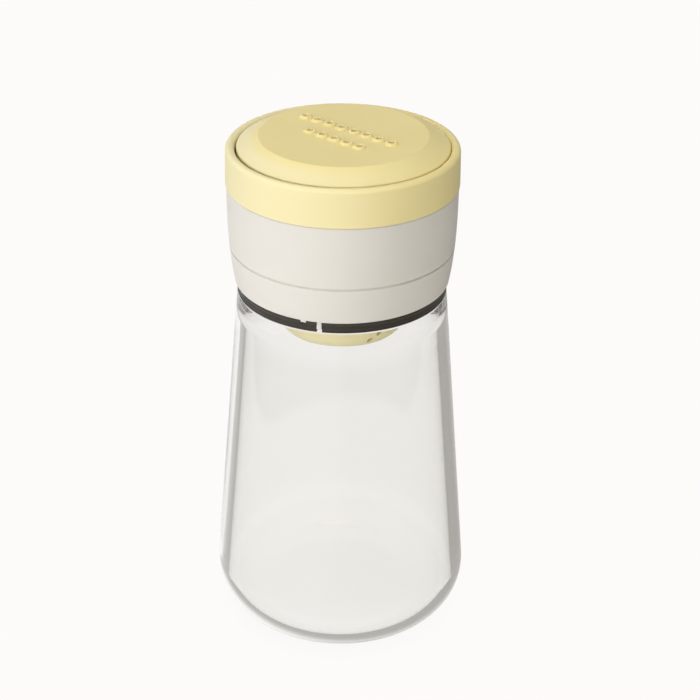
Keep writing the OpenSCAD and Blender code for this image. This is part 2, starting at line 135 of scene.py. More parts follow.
# Cream bands
collar_bore_r = 25.6 * MM
housing_bore_r = 27.3 * MM
foot_r = 28.3 * MM
band_power = 2.9
band_edge = 0.35 * MM
band_step = 1.4 * band_edge
collar_flange_t = 2 * MM
spigot_r = housing_bore_r - push_gap
oring_d = 1 * MM
guide_t = 1.8 * MM
ledge_w = 0.8 * MM
ledge_t = 0.6 * MM

# Outlet ring and its valve seat
ring_wall = 2.45 * MM
rim_round = 0.49 * ring_wall
ring_foot_round = 0.25 * MM
lip_h = 1.2 * MM
lip_undercut = 1.0 * MM
spigot_wall = 1.6 * MM
seat_rise = 1.4 * MM
seat_t = 1.6 * MM
seat_w = 2.3 * MM
seat_lap = 1.2 * MM

# Button. A row of grip rings (pips) is their number, and its start along and across the row
edge_h = 1.7 * MM
crown_h = 2.8 * MM
crown_w = 5.6 * MM
pip_h = 0.6 * MM
pip_r = 1.75 * MM
pip_hole_r = 0.65 * MM
pip_hole_depth = 1.2 * MM
pip_pitch = 4.1 * MM
pip_rows = ((8, -15.0 * MM, 2.8 * MM), (5, -7.4 * MM, -4.3 * MM))
pip_row_a = -40
pip_sink = 0.3 * MM
pip_foot_h = 0.2 * pip_h
pip_flank_w = 0.45 * MM
skirt_r = 19 * MM
button_wall = 2 * MM
crown_play = 0.17 * MM
crown_web = 0.3 * MM
web_round = 0.8 * MM
boss_wall = 1.2 * MM
boss_bore_h = 6 * MM
screw_head_r = 1.92 * MM
valve_screw_r = skirt_r - button_wall - screw_head_r
top_z = pip_top_z - pip_h
edge_z = top_z - crown_h - edge_h

# Small screws, three of each kind
screw_r = 1 * MM
screw_angles = [120 * i + 30 for i in range(3)]
guide_hole_h = 1.75 * MM

# Cup
cup_r = 16.2 * MM
cup_wall = 1.5 * MM
cup_round = 10 * MM
cup_flange_t = 1.4 * MM
port_r = 0.7 * MM
port_z = 2.3 * MM
port_rise = 1.7 * MM
port_angles = [-56.5 + 120 * i for i in range(3)]
port_spread_a = 6
guide_screw_r = (cup_r - cup_wall + flange_r) / 2

# Spring, between its two closed ends
wire_r = 0.45 * MM
coil_turns = 7
coil_steps = 40


# ---------------------------------------------------------------- modelling helpers
def corner_angle(before, here, after):
    """Angle between the two edges that meet at an outline's point."""
    a = Vector((before[0] - here[0], before[1] - here[1]))
    b = Vector((after[0] - here[0], after[1] - here[1]))
    return a.angle(b)


def round_steps(radius):
    """More segments on a larger round."""
    if radius < 0.9 * MM:
        return 4
    return 10 if radius < 3 * MM else 20


def rounded_outline(outline):
    """A flat face in the XZ plane from (radius, height, corner radius) points, corners rounded."""
    bm = bmesh.new()
    verts = [bm.verts.new((r, 0.0, z)) for r, z, _ in outline]
    bm.faces.new(verts)
    for i, vert in enumerate(verts):
        radius = outline[i][2]
        if radius <= 0:
            continue
        angle = corner_angle(outline[i - 1], outline[i], outline[(i + 1) % len(outline)])
        bmesh.ops.bevel(bm, geom=[vert], offset=radius / math.tan(angle / 2), offset_type="OFFSET",
                        affect="VERTICES", segments=round_steps(radius), profile=0.5, material=-1)
    return bm


def everything(bm):
    return bm.verts[:] + bm.edges[:] + bm.faces[:]


def spun(bm, geom, turn, steps, climb=0.0, merge=False):
    """Spins geometry about Z by some degrees while it climbs, and gives its far end."""
    done = bmesh.ops.spin(bm, geom=geom, cent=(0, 0, 0), axis=(0, 0, 1), dvec=(0, 0, climb / steps),
                          angle=math.radians(turn), steps=steps, use_merge=merge,
                          use_normal_flip=False, use_duplicate=False)
    return done["geom_last"]


def lathe(outline, steps=SPIN_STEPS, turn=360.0, start=0.0):
    """A closed solid spun about Z from a rounded outline. A part turn keeps its two end faces."""
    bm = rounded_outline(outline)
    full = turn == 360.0
    if full:
        bmesh.ops.delete(bm, geom=bm.faces[:], context="FACES_ONLY")
        axis_edges = [e for e in bm.edges if max(abs(v.co.x) for v in e.verts) < ON_AXIS]
        bmesh.ops.delete(bm, geom=axis_edges, context="EDGES")
    spun(bm, everything(bm), turn, steps, merge=full)
    bmesh.ops.remove_doubles(bm, verts=bm.verts[:], dist=SAME_POINT)
    bmesh.ops.recalc_face_normals(bm, faces=bm.faces[:])
    bmesh.ops.rotate(bm, verts=bm.verts[:], cent=(0, 0, 0),
                     matrix=Matrix.Rotation(math.radians(start), 3, "Z"))
    return bm


def add_to(target, source, place):
    """Adds one bmesh to another at a place, and frees it."""
    source.transform(place)
    mesh = bpy.data.meshes.new("joined")
    source.to_mesh(mesh)
    source.free()
    target.from_mesh(mesh)
    bpy.data.meshes.remove(mesh)


def mesh_of(obj):
    """A bmesh with an object's present shape."""
    bm = bmesh.new()
    bm.from_mesh(obj.data)
    return bm


def new_object(name, bm):
    mesh = bpy.data.meshes.new(name)
    bm.to_mesh(mesh)
    bm.free()
    obj = bpy.data.objects.new(name, mesh)
    bpy.context.scene.collection.objects.link(obj)
    return obj


def combined(obj, bm, operation):
    """Cuts a bmesh from an object, or joins it to the object, as one closed shape."""
    tool = new_object("tool", bm)
    step = obj.modifiers.new("boolean", "BOOLEAN")
    step.operation = operation
    step.solver = "EXACT"
    step.object = tool
    result = obj.evaluated_get(bpy.context.evaluated_depsgraph_get())
    mesh = bpy.data.meshes.new_from_object(result)
    obj.modifiers.clear()
    obj.data = mesh
    bpy.data.objects.remove(tool)
    return obj


def turned(angle):
    return Matrix.Rotation(math.radians(angle), 4, "Z")


def moved(x, y, z):
    return Matrix.Translation((x, y, z))


def add_rod(bm, radius, length, place, segments=24):
    bmesh.ops.create_cone(bm, cap_ends=True, segments=segments, radius1=radius, radius2=radius,
                          depth=length, matrix=place)


def add_upright_rod(bm, radius, low, high, place_r, angle):
    """An upright round rod at a place given by radius and direction."""
    add_rod(bm, radius, high - low, turned(angle) @ moved(place_r, 0, (low + high) / 2))


def add_block(bm, near, far, width, low, high, angle):
    """A block that points away from the axis."""
    size = Matrix.Diagonal((far - near, width, high - low, 1))
    place = turned(angle) @ moved((near + far) / 2, 0, (low + high) / 2)
    bmesh.ops.create_cube(bm, size=1.0, matrix=place @ size)


def thread_ridge(root_r, foot_z, depth, half, turns):
    """A ridge that climbs around the axis, outwards or inwards."""
    sunk_r = root_r - thread_sink if depth > 0 else root_r + thread_sink
    bm = bmesh.new()
    corners = [(sunk_r, -half), (root_r + depth, -thread_crest * half),
               (root_r + depth, thread_crest * half), (sunk_r, half)]
    bm.faces.new([bm.verts.new((r, 0, foot_z + z)) for r, z in corners])
    steps = round(THREAD_STEPS * turns)
    spun(bm, everything(bm), 360 * turns, steps, climb=thread_lead * turns)
    bmesh.ops.recalc_face_normals(bm, faces=bm.faces[:])
    return bm


def smooth(obj):
    """Smooth faces, with the flat ones kept flat and hard corners kept hard."""
    obj.data.polygons.foreach_set("use_smooth", [True] * len(obj.data.polygons))
    bm = mesh_of(obj)
    for edge in bm.edges:
        if len(edge.link_faces) == 2 and edge.calc_face_angle(0.0) > SHARP_EDGE:
            edge.smooth = False
    bm.to_mesh(obj.data)
    bm.free()
    weigh = obj.modifiers.new("face_weights", "WEIGHTED_NORMAL")
    weigh.keep_sharp = True


def finished(obj, finish, body, cad_node):
    """Shades a piece, gives it its finish, and hangs it on the body of the node it stands for."""
    smooth(obj)
    obj.data.materials.clear()
    obj.data.materials.append(finish)
    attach(obj, body)
    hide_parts(cad_node)
    return obj


def band_side(z):
    """Outer radius of the two cream bands at a height."""
    share = (ring_foot_z - z) / (ring_foot_z - seal_top_z)
    return head_r - (head_r - foot_r) * share ** band_power


def steps_between(low, high, count):
    return [low + (high - low) * i / count for i in range(count + 1)]


# ---------------------------------------------------------------- node helpers
def put(tree, value, in_socket):
    """Links a socket to an input, or sets the input to a plain value."""
    if isinstance(value, bpy.types.NodeSocket):
        tree.links.new(value, in_socket)
    else:
        in_socket.default_value = value


def node(tree, kind, values=None, **settings):
    """A node with its settings, and its inputs linked to sockets or set to plain values."""
    made = tree.nodes.new(kind)
    for key, value in settings.items():
        setattr(made, key, value)
    for key, value in (values or {}).items():
        put(tree, value, made.inputs[key])
    return made


def maths(tree, operation, *terms):
    made = node(tree, "ShaderNodeMath", dict(enumerate(terms)), operation=operation)
    return made.outputs["Value"]


def ramp(tree, value, start, end, at_start=0.0, at_end=1.0, curve="LINEAR"):
    """Goes from one value at the start to another at the end, and stays there beyond them."""
    made = node(tree, "ShaderNodeMapRange",
                {"Value": value, "From Min": start, "From Max": end, "To Min": at_start,
                 "To Max": at_end}, interpolation_type=curve)
    return made.outputs["Result"]


def mixed(tree, share, first, second):
    """A colour between two colours."""
    made = node(tree, "ShaderNodeMix", {"Factor": share, "A": first, "B": second}, data_type="RGBA")
    return made.outputs["Result"]


def group_tree(name, inputs, outputs):
    """A node group with named inputs (socket kind and value) and outputs (socket kind)."""
    group = bpy.data.node_groups.new(name, "ShaderNodeTree")
    for socket, (kind, value) in inputs.items():
        made = group.interface.new_socket(name=socket, in_out="INPUT", socket_type=kind)
        made.default_value = value
    for socket, kind in outputs.items():
        group.interface.new_socket(name=socket, in_out="OUTPUT", socket_type=kind)
    return group, group.nodes.new("NodeGroupInput").outputs, group.nodes.new("NodeGroupOutput").inputs


def new_finish(name):
    """An empty finish: the material, its tree and its shader."""
    mat = bpy.data.materials.new(name)
    mat.use_nodes = True
    return mat, mat.node_tree, mat.node_tree.nodes["Principled BSDF"]


# ---------------------------------------------------------------- shader groups
FLOAT, COLOUR = "NodeSocketFloat", "NodeSocketColor"
WHITE = (1, 1, 1, 1)
NOISE_MIDDLE = (0.35, 0.65)
MARK_SCALE = 130.0
PORE_SHARE = 0.35
RELIEF_DEPTH = 0.2 * MM
FINE_GRAIN = 1500.0
DRIFT_SCALE = 45.0


def moulded_skin_group():
    """Colour drift, handling marks and fine grain of a moulded surface, on Object coordinates."""
    tree, given, out = group_tree(
        "moulded_skin",
        {"Colour": (COLOUR, WHITE), "Shade": (COLOUR, WHITE), "Drift Scale": (FLOAT, DRIFT_SCALE),
         "Grain Scale": (FLOAT, FINE_GRAIN), "Smooth": (FLOAT, 0.35), "Rough": (FLOAT, 0.5)},
        {"Colour": COLOUR, "Roughness": FLOAT, "Height": FLOAT})
    place = node(tree, "ShaderNodeTexCoord").outputs["Object"]
    drift = node(tree, "ShaderNodeTexNoise", {"Vector": place, "Scale": given["Drift Scale"],
                                              "Detail": 4.0, "Roughness": 0.6})
    grain = node(tree, "ShaderNodeTexNoise", {"Vector": place, "Scale": given["Grain Scale"],
                                              "Detail": 2.0, "Roughness": 0.5})
    pores = node(tree, "ShaderNodeTexVoronoi", {"Vector": place, "Scale": given["Grain Scale"]})
    marks = node(tree, "ShaderNodeTexNoise", {"Vector": place, "Scale": MARK_SCALE, "Detail": 5.0,
                                              "Distortion": 0.6})
    cloud = ramp(tree, drift.outputs["Fac"], *NOISE_MIDDLE)
    put(tree, mixed(tree, cloud, given["Colour"], given["Shade"]), out["Colour"])
    put(tree, ramp(tree, marks.outputs["Fac"], *NOISE_MIDDLE, given["Smooth"], given["Rough"]),
        out["Roughness"])
    put(tree, maths(tree, "MULTIPLY_ADD", pores.outputs["Distance"], PORE_SHARE,
                    grain.outputs["Fac"]), out["Height"])
    return tree


# A painted highlight: a paler colour on the lit side, which runs along X between these two places and
# starts below the flat top
PALE_NONE_X = 32 * MM
PALE_FULL_X = -20 * MM
PALE_WANDER = 12 * MM
PALE_CLOUDS = 30.0
PALE_NONE_Z = top_z - 0.2 * MM
PALE_FULL_Z = top_z - 1.5 * MM


def lit_side_paling_group():
    """1 on the lit side, where a paler colour is painted as a highlight, 0 on the other side and on
    the flat top.
    """
    tree, given, out = group_tree(
        "lit_side_paling", {"From": (FLOAT, PALE_NONE_X), "To": (FLOAT, PALE_FULL_X)}, {"Mask": FLOAT})
    place = node(tree, "ShaderNodeTexCoord").outputs["Object"]
    cloud = node(tree, "ShaderNodeTexNoise", {"Vector": place, "Scale": PALE_CLOUDS, "Detail": 2.0})
    spot = node(tree, "ShaderNodeSeparateXYZ", {"Vector": place}).outputs
    uneven_x = maths(tree, "MULTIPLY_ADD", cloud.outputs["Fac"], PALE_WANDER, spot["X"])
    across = ramp(tree, uneven_x, given["From"], given["To"], curve="SMOOTHSTEP")
    down = ramp(tree, spot["Z"], PALE_NONE_Z, PALE_FULL_Z)
    put(tree, maths(tree, "MULTIPLY", across, down), out["Mask"])
    return tree


moulded_skin = moulded_skin_group()
# Mask of the paler colour that is painted as a highlight on the lit side
lit_side_paling = lit_side_paling_group()


# ---------------------------------------------------------------- finishes
PLASTIC_SPECULAR = 0.3


def moulded(name, colour, shade, smooth_at, rough_at, grain=FINE_GRAIN, bump=0.04):
    """A moulded or drawn finish, with patches between two colours and between two roughnesses.

    Colours are linear.
    """
    mat, tree, shader = new_finish(name)
    skin = node(tree, "ShaderNodeGroup", node_tree=moulded_skin)
    for key, value in {"Colour": (*colour, 1), "Shade": (*shade, 1), "Drift Scale": DRIFT_SCALE,
                       "Grain Scale": grain, "Smooth": smooth_at, "Rough": rough_at}.items():
        put(tree, value, skin.inputs[key])
    relief = node(tree, "ShaderNodeBump", {"Strength": bump, "Distance": RELIEF_DEPTH,
                                           "Height": skin.outputs["Height"]})
    put(tree, skin.outputs["Colour"], shader.inputs["Base Color"])
    put(tree, skin.outputs["Roughness"], shader.inputs["Roughness"])
    put(tree, relief.outputs["Normal"], shader.inputs["Normal"])
    return mat


def paled_on_lit_side(mat, pale):
    """Mixes a paler colour into a plastic on its lit side, as a painted highlight."""
    tree = mat.node_tree
    shader = tree.nodes["Principled BSDF"]
    shader.inputs["Specular IOR Level"].default_value = PLASTIC_SPECULAR
    lit_side_mask = node(tree, "ShaderNodeGroup", node_tree=lit_side_paling)
    put(tree, PALE_NONE_X, lit_side_mask.inputs["From"])
    put(tree, PALE_FULL_X, lit_side_mask.inputs["To"])
    skin_colour = shader.inputs["Base Color"].links[0].from_socket
    put(tree, mixed(tree, lit_side_mask.outputs["Mask"], skin_colour, (*pale, 1)), shader.inputs["Base Color"])
    return mat


# Tints of the glass: its foot, its wall and the part near the shoulder. The foot and the part near the
# shoulder are tinted less, as painted light where the thick glass renders dark
GLASS_FOOT = (0.995, 0.995, 0.985, 1)
GLASS_WALL = (0.94, 0.94, 0.925, 1)
GLASS_TOP = (0.99, 0.99, 0.985, 1)
FOOT_TINT_Z = (5 * MM, 22 * MM)
TOP_TINT_Z = (shoulder_z - 13 * MM, shoulder_z - 6 * MM)
GLASS_IOR = 1.5
HAZE = 0.02
RIPPLE_SCALE = 28.0
RIPPLE_STRETCH = (1.0, 1.0, 0.35)
RIPPLE_STRENGTH = 0.05


def clear_glass():
    """Thick bottle glass with a faint tint, lighter as painted light at the foot and near the
    shoulder, and slight ripples that die away near the shoulder.
    """
    mat, tree, shader = new_finish("clear_glass")
    shader.inputs["Transmission Weight"].default_value = 1.0
    shader.inputs["IOR"].default_value = GLASS_IOR
    place = node(tree, "ShaderNodeTexCoord").outputs["Object"]
    z = node(tree, "ShaderNodeSeparateXYZ", {"Vector": place}).outputs["Z"]
    above_foot = ramp(tree, z, *FOOT_TINT_Z, curve="SMOOTHSTEP")
    near_top = ramp(tree, z, *TOP_TINT_Z, curve="SMOOTHSTEP")
    tint = mixed(tree, above_foot, GLASS_FOOT, GLASS_WALL)
    put(tree, mixed(tree, near_top, tint, GLASS_TOP), shader.inputs["Base Color"])

    upright = node(tree, "ShaderNodeMapping", {"Vector": place, "Scale": RIPPLE_STRETCH})
    ripples = node(tree, "ShaderNodeTexNoise", {"Vector": upright.outputs["Vector"], "Detail": 2.0,
                                                "Scale": RIPPLE_SCALE}).outputs["Fac"]
    put(tree, ramp(tree, ripples, 0.0, 1.0, 0.0, HAZE), shader.inputs["Roughness"])
    calm = ramp(tree, near_top, 0.0, 1.0, 1.0, 0.0)
    relief = node(tree, "ShaderNodeBump", {"Strength": RIPPLE_STRENGTH, "Distance": MM,
                                           "Height": maths(tree, "MULTIPLY", ripples, calm)})
    put(tree, relief.outputs["Normal"], shader.inputs["Normal"])

    path = node(tree, "ShaderNodeLightPath").outputs
    lighting = maths(tree, "MAXIMUM", path["Is Shadow Ray"], path["Is Diffuse Ray"])
    through = node(tree, "ShaderNodeBsdfTransparent", {"Color": WHITE})
    either = node(tree, "ShaderNodeMixShader", {0: lighting, 1: shader.outputs["BSDF"],
                                                2: through.outputs["BSDF"]})
    put(tree, either.outputs["Shader"], tree.nodes["Material Output"].inputs["Surface"])
    return mat


# Paler colours painted as a highlight on the lit side of the yellow and cream plastics
BUTTER_LIT_PALE = (0.87, 0.78, 0.46)
CREAM_LIT_PALE = (0.76, 0.73, 0.675)

glass = clear_glass()
butter = paled_on_lit_side(moulded("butter_plastic", (0.88, 0.75, 0.35), (0.86, 0.73, 0.335), 0.42, 0.52),
               BUTTER_LIT_PALE)
# The cup's yellow is brighter than the button's: painted light for the light that the head keeps from
# the cup
brightened_cup_butter = paled_on_lit_side(moulded("brightened_cup_butter", (0.96, 0.85, 0.46), (0.95, 0.84, 0.45), 0.42, 0.52),
                   BUTTER_LIT_PALE)
cream = paled_on_lit_side(moulded("cream_plastic", (0.74, 0.70, 0.62), (0.725, 0.685, 0.605), 0.40, 0.52),
              CREAM_LIT_PALE)
natural = moulded("natural_plastic", (0.80, 0.79, 0.74), (0.77, 0.76, 0.72), 0.45, 0.60)
seal_rubber = moulded("seal_rubber", (0.030, 0.024, 0.017), (0.040, 0.033, 0.024), 0.34, 0.50,
                      grain=2500.0, bump=0.06)
silicone = moulded("silicone", (0.74, 0.74, 0.71), (0.70, 0.70, 0.67), 0.40, 0.55)
steel = moulded("bright_steel", (0.60, 0.60, 0.61), (0.50, 0.50, 0.51), 0.22, 0.34,
                grain=900.0, bump=0.03)
steel.node_tree.nodes["Principled BSDF"].inputs["Metallic"].default_value = 1.0


# ---------------------------------------------------------------- pieces
def glass_bottle():
    """Conical bottle of one closed glass wall, with a threaded neck."""
    reach_x = shoulder_r - (bottle_r - corner_r)
    reach_z = shoulder_z - corner_r
    taper = math.atan2(reach_z, reach_x) - math.acos(corner_r / math.hypot(reach_x, reach_z))
    side = (bottle_r - corner_r) * math.cos(taper) + corner_r * math.sin(taper) + corner_r

    def cone_r(z, depth=0.0):
        """Radius of the cone at a height, at a depth below its outer face."""
        return (side - depth - z * math.sin(taper)) / math.cos(taper)

    slope_z = shoulder_z - inner_shoulder_drop
    dome = [(dome_r * t, dome_h * (1 - t * t), 0) for t in steps_between(0, 1, 8)[:-1]]
    outline = dome + [
        (dome_r, 0, dome_round), (cone_r(0), 0, corner_r),
        (cone_r(shoulder_z), shoulder_z, crest), (neck_r, shoulder_z, neck_foot_round),
        (neck_r, mouth_z, mouth_round), (neck_bore_r, mouth_z, mouth_round),
        (neck_bore_r, shoulder_z - bore_foot_drop, bore_foot_round),
        (cone_r(slope_z, wall), slope_z, inner_shoulder_round),
        (cone_r(base_t, wall), base_t, corner_r - wall), (0, base_t, 0),
    ]
    obj = new_object("bottle_glass", lathe(outline, steps=GLASS_STEPS))
    combined(obj, thread_ridge(neck_r, ridge_z, thread_h, ridge_half, thread_turns), "UNION")
    return finished(obj, glass, "bottle", "glass_bottle")


def neck_seal():
    """Dark ring between head and shoulder, with two beads, a split and a notch for a key.

    Its underside, where it lies on the glass, has the pale silicone's finish.
    """
    inner_r = neck_r + thread_h + thread_clearance
    height = seal_top_z - shoulder_z
    low_bead = shoulder_z + low_bead_share * height
    high_bead = shoulder_z + high_bead_share * height
    body_r = shoulder_r - 1.6 * bead
    waist_r = body_r + 0.4 * bead
    outline = [
        (inner_r, shoulder_z, 0), (body_r + 1.2 * bead, shoulder_z, foot_round),
        (body_r, low_bead - 1.2 * bead, waist_round), (body_r + 1.6 * bead, low_bead, soft_round),
        (waist_r, low_bead + 1.4 * bead, waist_round),
        (waist_r, high_bead - 1.2 * bead, waist_round),
        (body_r + 2.4 * bead, high_bead, soft_round),
        (body_r + 1.6 * bead, seal_top_z, trim_round), (inner_r, seal_top_z, 0),
    ]
    gap_a = math.degrees(split_w / shoulder_r)
    obj = new_object("seal_ring", lathe(outline, SEAL_STEPS, 360 - gap_a, split_a + gap_a / 2))
    notch = bmesh.new()
    add_block(notch, collar_bore_r + push_gap, foot_r, key_w + 2 * push_gap,
              seal_top_z - key_h - push_gap, seal_top_z + key_h, key_a)
    combined(obj, notch, "DIFFERENCE")
    finished(obj, seal_rubber, "head", "neck_seal")
    obj.data.materials.append(silicone)
    for face in obj.data.polygons:
        if face.center.z < shoulder_z + underside_band and face.normal.z < -0.9:
            face.material_index = 1
    return obj


def oring_groove(middle):
    """Outline points of an O-ring's groove in a spigot, going up."""
    half, floor_r = 0.52 * oring_d, spigot_r - 0.9 * oring_d
    return [(spigot_r, middle - half, 0), (floor_r, middle - half, edge_round),
            (floor_r, middle + half, edge_round), (spigot_r, middle + half, 0)]


def neck_collar():
    """Lower cream band, with its spigot, its thread and the two keys that hold the seal ring."""
    cup_seat_r = cup_r + push_gap
    flange_foot_z = flange_z - collar_flange_t
    outline = [(collar_bore_r, seal_top_z, 0),
               (band_side(seal_top_z) - band_edge, seal_top_z, foot_round)]
    outline += [(band_side(z), z, 0)
                for z in steps_between(seal_top_z + band_edge, band_z - band_edge, 8)]
    outline += [(band_side(band_z) - band_step, band_z, trim_round), (spigot_r, band_z, 0),
                *oring_groove((band_z + flange_z) / 2),
                (spigot_r, flange_z, soft_round), (cup_seat_r, flange_z, edge_round),
                (cup_seat_r, flange_foot_z, edge_round), (collar_bore_r, flange_foot_z, soft_round)]
    obj = new_object("collar_band", lathe(outline))
    holes = bmesh.new()
    for angle in screw_angles:
        add_upright_rod(holes, screw_r, flange_z - guide_hole_h, flange_z + MM, guide_screw_r, angle)
    combined(obj, holes, "DIFFERENCE")

    bm = mesh_of(obj)
    key_near, key_far = collar_bore_r + 2 * push_gap, shoulder_r - push_gap
    key_top = seal_top_z + key_root
    add_block(bm, key_near, key_far, key_w, seal_top_z - key_h, key_top, key_a)
    add_block(bm, key_near, key_far, split_w - 2 * push_gap, shoulder_z + 3 * slide_gap, key_top,
              split_a)
    nut_z = seal_top_z + nut_half + slide_gap
    flank_drop = flank_share * (ridge_half + nut_half) + slide_gap
    nut_a = 360 * (nut_z + flank_drop - ridge_z) / thread_lead
    add_to(bm, thread_ridge(collar_bore_r, nut_z, -thread_h, nut_half, 1), turned(nut_a))
    bm.to_mesh(obj.data)
    bm.free()
    return finished(obj, cream, "head", "neck_collar")


def head_housing():
    """Upper cream band, with the ledge that carries the stem guide."""
    ledge_r = collar_bore_r - ledge_w
    guide_z = cup_top_z + guide_t
    outline = [(housing_bore_r, band_z, 0), (band_side(band_z) - band_step, band_z, trim_round)]
    outline += [(band_side(z), z, 0)
                for z in steps_between(band_z + band_edge, ring_foot_z - band_edge, 12)]
    outline += [(head_r - band_edge, ring_foot_z, trim_round),
                (housing_bore_r, ring_foot_z, trim_round), (housing_bore_r, guide_z + guide_t, 0),
                (ledge_r, guide_z + ledge_t, edge_round), (ledge_r, guide_z, 0),
                (housing_bore_r, guide_z, 0)]
    return finished(new_object("housing_band", lathe(outline)),
                    cream, "head", "head_housing")


def outlet_ring():
    """Yellow ring with a round rim, an undercut lip and the valve seat below."""
    rim_r = head_r + push_gap
    lip_r = rim_r - ring_wall
    lip_foot_z = rim_z - ring_wall / 2 - lip_h
    bore_r = lip_r + lip_undercut
    spigot_in = spigot_r - spigot_wall
    seat_z = disc_top_z + seat_rise
    seat_top = seat_z + seat_t
    seat_r = spigot_in - seat_w - seat_lap
    outline = [
        (seat_r, seat_z, edge_round), (spigot_in, seat_z, edge_round),
        (spigot_in, spigot_z, edge_round), (spigot_r, spigot_z, soft_round),
        *oring_groove((spigot_z + ring_foot_z) / 2), (spigot_r, ring_foot_z, 0),
        (ring_r, ring_foot_z, ring_foot_round), (rim_r, rim_z, rim_round), (lip_r, rim_z, rim_round),
        (lip_r, lip_foot_z, edge_round), (bore_r, lip_foot_z - lip_undercut, edge_round),
        (bore_r, seat_top, corner_round), (seat_r, seat_top, soft_round),
    ]
    return finished(new_object("rim_ring", lathe(outline)),
                    butter, "head", "outlet_ring")


def grip_places(height):
    """Places of the grip rings, in two slanting rows."""
    return [turned(pip_row_a) @ moved(along + pip_pitch * i, across, height)
            for count, along, across in pip_rows for i in range(count)]


def grip_ring():
    """One plain raised ring, which stands on the button's flat top."""
    foot_z = top_z - pip_sink
    return lathe([
        (pip_hole_r, foot_z, 0), (pip_r, foot_z, 0), (pip_r, top_z + pip_foot_h, trim_round),
        (pip_r - pip_flank_w, pip_top_z, soft_round), (pip_hole_r + edge_round, pip_top_z, edge_round),
    ], steps=32)


def screw_boss(roof_z):
    """A round boss under the button's roof, with a blind hole for a screw."""
    outer_r = screw_r + boss_wall
    hole_z = disc_top_z + boss_bore_h
    return lathe([
        (screw_r, disc_top_z, trim_round), (outer_r, disc_top_z, edge_round), (outer_r, roof_z, 0),
        (0, roof_z, 0), (0, hole_z, 0), (screw_r, hole_z, 0),
    ], steps=32)


def push_button():
    """Button with a chamfered crown, a rounded edge, a hollow skirt and raised grip rings.

    The crown sits within its play, a little to one side, as a loose button does. The holes in
    the grip rings go on below them.
    """
    crown_r = button_r - crown_w
    web_z = edge_z + crown_h - crown_web
    roof_z = top_z - button_wall
    outline = [
        (0, top_z, 0), (crown_r, top_z, corner_round), (button_r, edge_z + edge_h, corner_round),
        (button_r, edge_z, soft_round), (button_r - button_wall, edge_z, soft_round),
        (crown_r, web_z, web_round), (skirt_r, web_z, corner_round), (skirt_r, disc_top_z, edge_round),
        (skirt_r - button_wall, disc_top_z, edge_round), (skirt_r - button_wall, roof_z, corner_round),
        (0, roof_z, 0),
    ]
    bm = lathe(outline)
    crown = [v for v in bm.verts if math.hypot(v.co.x, v.co.y) > skirt_r + corner_round]
    bmesh.ops.translate(bm, verts=crown, vec=(crown_play, 0, 0))
    holes = bmesh.new()
    for place in grip_places(top_z):
        add_rod(holes, pip_hole_r, 2 * pip_hole_depth, place, segments=20)
    obj = combined(new_object("button_cap", bm), holes, "DIFFERENCE")

    bm = mesh_of(obj)
    for angle in screw_angles:
        add_to(bm, screw_boss(roof_z + edge_round), turned(angle) @ moved(valve_screw_r, 0, 0))
    for place in grip_places(0):
        add_to(bm, grip_ring(), place)
    bm.to_mesh(obj.data)
    bm.free()
    return finished(obj, butter, "button", "push_button")


def metering_cup():
    """Yellow cup in the neck, with pairs of small ports low on its side."""
    inner_r = cup_r - cup_wall
    flange_foot_z = cup_top_z - cup_flange_t
    floor_z = cup_foot_z + cup_wall
    outline = [
        (0, cup_foot_z, 0), (cup_r, cup_foot_z, cup_round), (cup_r, flange_foot_z, edge_round),
        (flange_r, flange_foot_z, edge_round), (flange_r, cup_top_z, edge_round),
        (inner_r, cup_top_z, soft_round), (inner_r, floor_z, cup_round - cup_wall), (0, floor_z, 0),
    ]
    obj = new_object("cup_shell", lathe(outline))
    outwards = Matrix.Rotation(math.radians(90), 4, "Y")
    holes = bmesh.new()
    for screw_a, port_a in zip(screw_angles, port_angles):
        add_upright_rod(holes, screw_r + push_gap, flange_foot_z - MM, cup_top_z + MM,
                        guide_screw_r, screw_a)
        for k in range(2):
            place = (turned(port_a + port_spread_a * k)
                     @ moved(cup_r, 0, cup_foot_z + port_z + port_rise * k) @ outwards)
            add_rod(holes, port_r, cup_r, place)
    combined(obj, holes, "DIFFERENCE")
    return finished(obj, brightened_cup_butter, "head", "metering_cup")


def return_spring():
    """Coil of round wire with closed ends."""
    length = spring_top_z - spring_foot_z
    end_climb = 2 * wire_r
    coil_climb = length - 2 * wire_r - 2 * end_climb
    bm = bmesh.new()
    bmesh.ops.create_circle(bm, cap_ends=True, segments=12, radius=wire_r,
                            matrix=moved(spring_r - wire_r, 0, spring_foot_z + wire_r)
                            @ Matrix.Rotation(math.radians(90), 4, "X"))
    wire_end = everything(bm)
    for turns, climb in ((1, end_climb), (coil_turns, coil_climb), (1, end_climb)):
        wire_end = spun(bm, wire_end, 360 * turns, coil_steps * turns, climb)
    bmesh.ops.recalc_face_normals(bm, faces=bm.faces[:])
    obj = finished(new_object("spring_coil", bm), steel, "head", "return_spring")
    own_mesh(obj)
    return obj


glass_bottle()
neck_seal()
neck_collar()
head_housing()
outlet_ring()
push_button()
metering_cup()
return_spring()

CAD_FINISHES = {
    "neck_gasket": silicone, "collar_oring": seal_rubber, "ring_oring": seal_rubber,
    "stem_guide": natural, "shutter_sleeve": natural, "valve_disc": natural,
    "outlet_seal": silicone, "guide_screws": steel, "valve_screws": steel,
    "stem_screw": steel, "shutter_screw": steel, "valve_stem": steel,
}
for name, finish in CAD_FINISHES.items():
    cad_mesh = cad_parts[name].data
    cad_mesh.materials.clear()
    cad_mesh.materials.append(finish)


# ---------------------------------------------------------------- camera and light
CAMERA_PLACE = (0.0023, -0.4177, 0.3063)
CAMERA_DOWN = 28.54
CAMERA_ROLL = 0.544
CAMERA_LENS = 90
CAMERA_FRAME = 36


